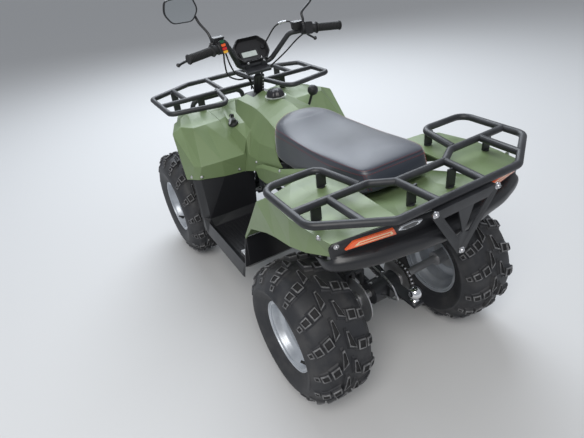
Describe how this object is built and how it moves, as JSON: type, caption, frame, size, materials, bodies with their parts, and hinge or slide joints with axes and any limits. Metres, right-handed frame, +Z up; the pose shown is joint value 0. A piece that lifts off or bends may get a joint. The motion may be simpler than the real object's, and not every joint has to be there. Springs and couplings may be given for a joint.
{
  "type": "quad bike",
  "caption": "Utility quad bike with balloon tyres on steel rims, front and rear tube racks, long seat, footwells, handlebar steering and a chain-driven live rear axle.",
  "frame": {"origin": "on the ground midway between the front and rear overhang, on the centre plane", "axes": "+X forwards, +Y to the rider's left, +Z up"},
  "size_m": [1.867, 0.96, 1.336],
  "materials": {
    "black_steel": "satin powder coat",
    "engine_metal": "cast, painted grey",
    "exhaust_steel": "heat-proof matt black",
    "green_plastic": "moulded, satin olive green",
    "black_plastic": "moulded, grained",
    "lamp_lens": "clear and coloured lens",
    "seat_vinyl": "black vinyl with red stitching",
    "bare_steel": "zinc plated",
    "chain_steel": "oiled",
    "spring_steel": "gloss black",
    "rim_paint": "silver paint",
    "tyre_rubber": "matt rubber",
    "grip_rubber": "ribbed rubber"
  },
  "bodies": {
    "chassis": {"frame": "black_steel", "engine": "engine_metal", "exhaust": "exhaust_steel", "front_fenders": "green_plastic", "tank_cover": "green_plastic", "front_cowl": "green_plastic", "headlamps": "lamp_lens", "side_panels": "green_plastic", "rear_fenders": "green_plastic", "rear_deck": "green_plastic", "rear_apron": "black_plastic", "tail_lamps": "lamp_lens", "seat": "seat_vinyl", "footwells": "black_plastic", "foot_pegs": "bare_steel", "rear_rack": "black_steel", "front_rack": "black_steel", "rear_plate": "black_steel", "front_bumper": "black_steel", "fuel_cap": "black_plastic", "ignition_switch": "black_plastic", "gear_lever": "black_plastic", "front_lower_arms": "black_steel", "front_upper_arms": "black_steel", "front_shocks": "spring_steel", "rear_shock": "spring_steel", "swingarm": "black_steel", "tow_hitch": "black_steel", "chain": "chain_steel", "brake_caliper": "bare_steel", "stem_shroud": "black_plastic", "air_box": "black_plastic"},
    "rear_axle": {"rear_axle_shaft": "bare_steel", "sprocket": "bare_steel", "brake_disc": "bare_steel", "rear_rim_left": "rim_paint", "rear_rim_right": "rim_paint", "rear_tyre_left": "tyre_rubber", "rear_tyre_right": "tyre_rubber"},
    "knuckle_left": {"knuckle_left": "bare_steel"},
    "knuckle_right": {"knuckle_right": "bare_steel"},
    "front_wheel_left": {"front_rim_left": "rim_paint", "front_tyre_left": "tyre_rubber"},
    "front_wheel_right": {"front_rim_right": "rim_paint", "front_tyre_right": "tyre_rubber"},
    "tie_rod_left": {"tie_rod_left": "bare_steel"},
    "tie_rod_right": {"tie_rod_right": "bare_steel"},
    "steering": {"steering_stem": "black_steel", "handlebar": "black_steel", "grips": "grip_rubber", "control_left": "black_plastic", "control_right": "black_plastic", "instrument": "black_plastic", "mirrors": "black_plastic", "cables": "grip_rubber"}
  },
  "joints": [
    {"name": "rear_axle_spin", "type": "hinge", "parent": "chassis", "child": "rear_axle", "pos_m": [-0.5835, 0, 0.272], "axis": [0, 1, 0], "continuous": true},
    {"name": "steering_turn", "type": "hinge", "parent": "chassis", "child": "steering", "pos_m": [0.5046, 0, 0.304], "axis": [-0.309, 0, 0.9511], "range_deg": [-32, 32]},
    {"name": "knuckle_turn_left", "type": "hinge", "parent": "chassis", "child": "knuckle_left", "pos_m": [0.5835, 0.3, 0.286], "axis": [0, 0, 1], "range_deg": [-33, 33]},
    {"name": "front_wheel_spin_left", "type": "hinge", "parent": "knuckle_left", "child": "front_wheel_left", "pos_m": [0.5835, 0.391, 0.286], "axis": [0, 1, 0], "continuous": true},
    {"name": "tie_rod_turn_left", "type": "hinge", "parent": "steering", "child": "tie_rod_left", "pos_m": [0.43803, 0.021, 0.28237], "axis": [-0.309, 0, 0.9511], "range_deg": [-33, 33]},
    {"name": "knuckle_turn_right", "type": "hinge", "parent": "chassis", "child": "knuckle_right", "pos_m": [0.5835, -0.3, 0.286], "axis": [0, 0, 1], "range_deg": [-33, 33]},
    {"name": "front_wheel_spin_right", "type": "hinge", "parent": "knuckle_right", "child": "front_wheel_right", "pos_m": [0.5835, -0.391, 0.286], "axis": [0, 1, 0], "continuous": true},
    {"name": "tie_rod_turn_right", "type": "hinge", "parent": "steering", "child": "tie_rod_right", "pos_m": [0.43803, -0.021, 0.28237], "axis": [-0.309, 0, 0.9511], "range_deg": [-33, 33]}
  ],
  "couplings": [
    {"joint": "knuckle_turn_left", "follows": "steering_turn", "ratio": 1},
    {"joint": "tie_rod_turn_left", "follows": "steering_turn", "ratio": -1},
    {"joint": "knuckle_turn_right", "follows": "steering_turn", "ratio": 1},
    {"joint": "tie_rod_turn_right", "follows": "steering_turn", "ratio": -1}
  ]
}
